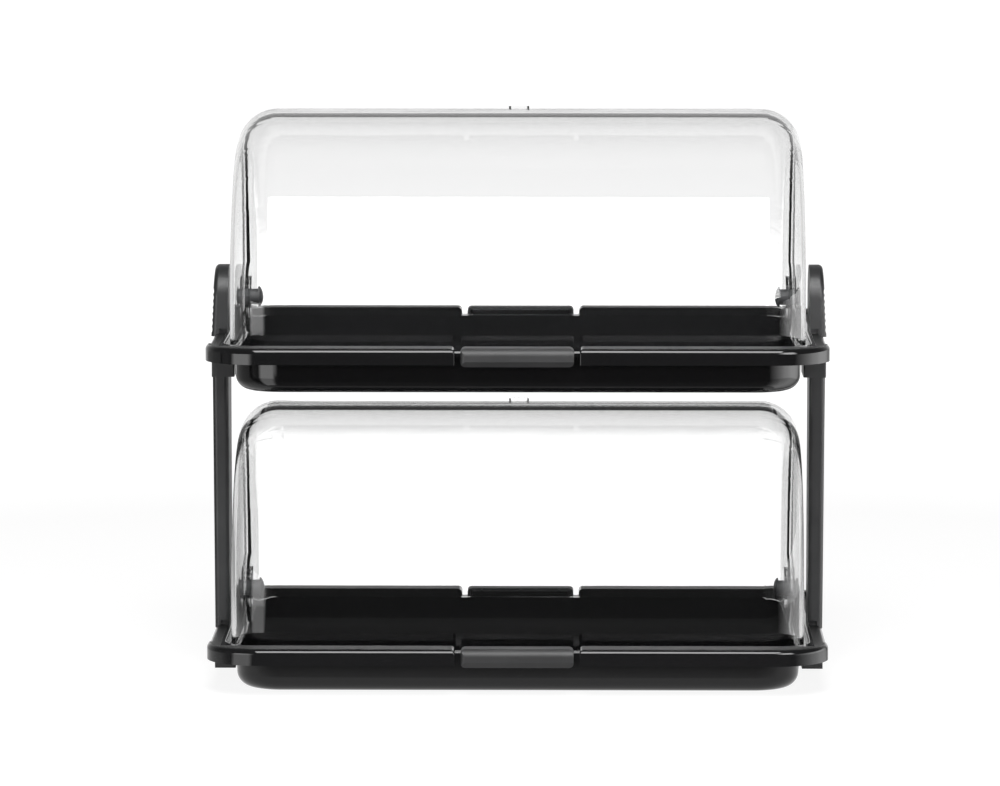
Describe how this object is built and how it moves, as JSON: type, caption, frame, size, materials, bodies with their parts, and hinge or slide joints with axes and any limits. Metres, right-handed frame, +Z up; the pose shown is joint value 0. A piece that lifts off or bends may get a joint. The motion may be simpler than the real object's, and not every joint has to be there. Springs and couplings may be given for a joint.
{
  "type": "countertop bread display bin",
  "caption": "Two-tier countertop bread display: black trays with grips stacked on side struts, each under a clear roll-top dome whose front and rear lids turn on side pivots.",
  "frame": {"origin": "centre of the footprint, in the plane that the lower tray and the two feet stand on", "axes": "+X to the right along the pivot axes, +Y to the rear, +Z up"},
  "size_m": [0.444, 0.32, 0.407],
  "materials": {
    "tray_black": "high gloss moulded black, fine pebble on the side ledges",
    "grip_grey": "fine matt texture",
    "lid_clear": "clear polished plastic",
    "pivot_grey": "semi-gloss moulded",
    "strut_grey": "satin moulded",
    "screw_steel": "plated"
  },
  "bodies": {
    "stand": {"lower_tray": "tray_black", "lower_front_grip": "grip_grey", "lower_rear_grip": "grip_grey", "upper_tray": "tray_black", "upper_front_grip": "grip_grey", "upper_rear_grip": "grip_grey", "left_strut": "strut_grey", "left_foot": "strut_grey", "left_tray_block": "strut_grey", "left_top_paddle": "strut_grey", "right_strut": "strut_grey", "right_foot": "strut_grey", "right_tray_block": "strut_grey", "right_top_paddle": "strut_grey", "foot_screws": "screw_steel"},
    "lower_front_lid": {"lower_front_lid": "lid_clear"},
    "lower_rear_lid": {"lower_rear_lid": "lid_clear", "lower_left_pivot_pin": "pivot_grey", "lower_left_pivot_bush": "pivot_grey", "lower_left_pivot_cap": "pivot_grey", "lower_right_pivot_pin": "pivot_grey", "lower_right_pivot_bush": "pivot_grey", "lower_right_pivot_cap": "pivot_grey"},
    "upper_front_lid": {"upper_front_lid": "lid_clear"},
    "upper_rear_lid": {"upper_rear_lid": "lid_clear", "upper_left_pivot_pin": "pivot_grey", "upper_left_pivot_bush": "pivot_grey", "upper_left_pivot_cap": "pivot_grey", "upper_right_pivot_pin": "pivot_grey", "upper_right_pivot_bush": "pivot_grey", "upper_right_pivot_cap": "pivot_grey"}
  },
  "joints": [
    {"name": "lower_front_lid_hinge", "type": "hinge", "parent": "stand", "child": "lower_front_lid", "pos_m": [0, 0, 0.0562], "axis": [-1, 0, 0], "range_deg": [0, 94]},
    {"name": "lower_rear_lid_hinge", "type": "hinge", "parent": "stand", "child": "lower_rear_lid", "pos_m": [0, 0, 0.0562], "axis": [1, 0, 0], "range_deg": [0, 94]},
    {"name": "upper_front_lid_hinge", "type": "hinge", "parent": "stand", "child": "upper_front_lid", "pos_m": [0, 0, 0.2687], "axis": [-1, 0, 0], "range_deg": [0, 94]},
    {"name": "upper_rear_lid_hinge", "type": "hinge", "parent": "stand", "child": "upper_rear_lid", "pos_m": [0, 0, 0.2687], "axis": [1, 0, 0], "range_deg": [0, 94]}
  ]
}
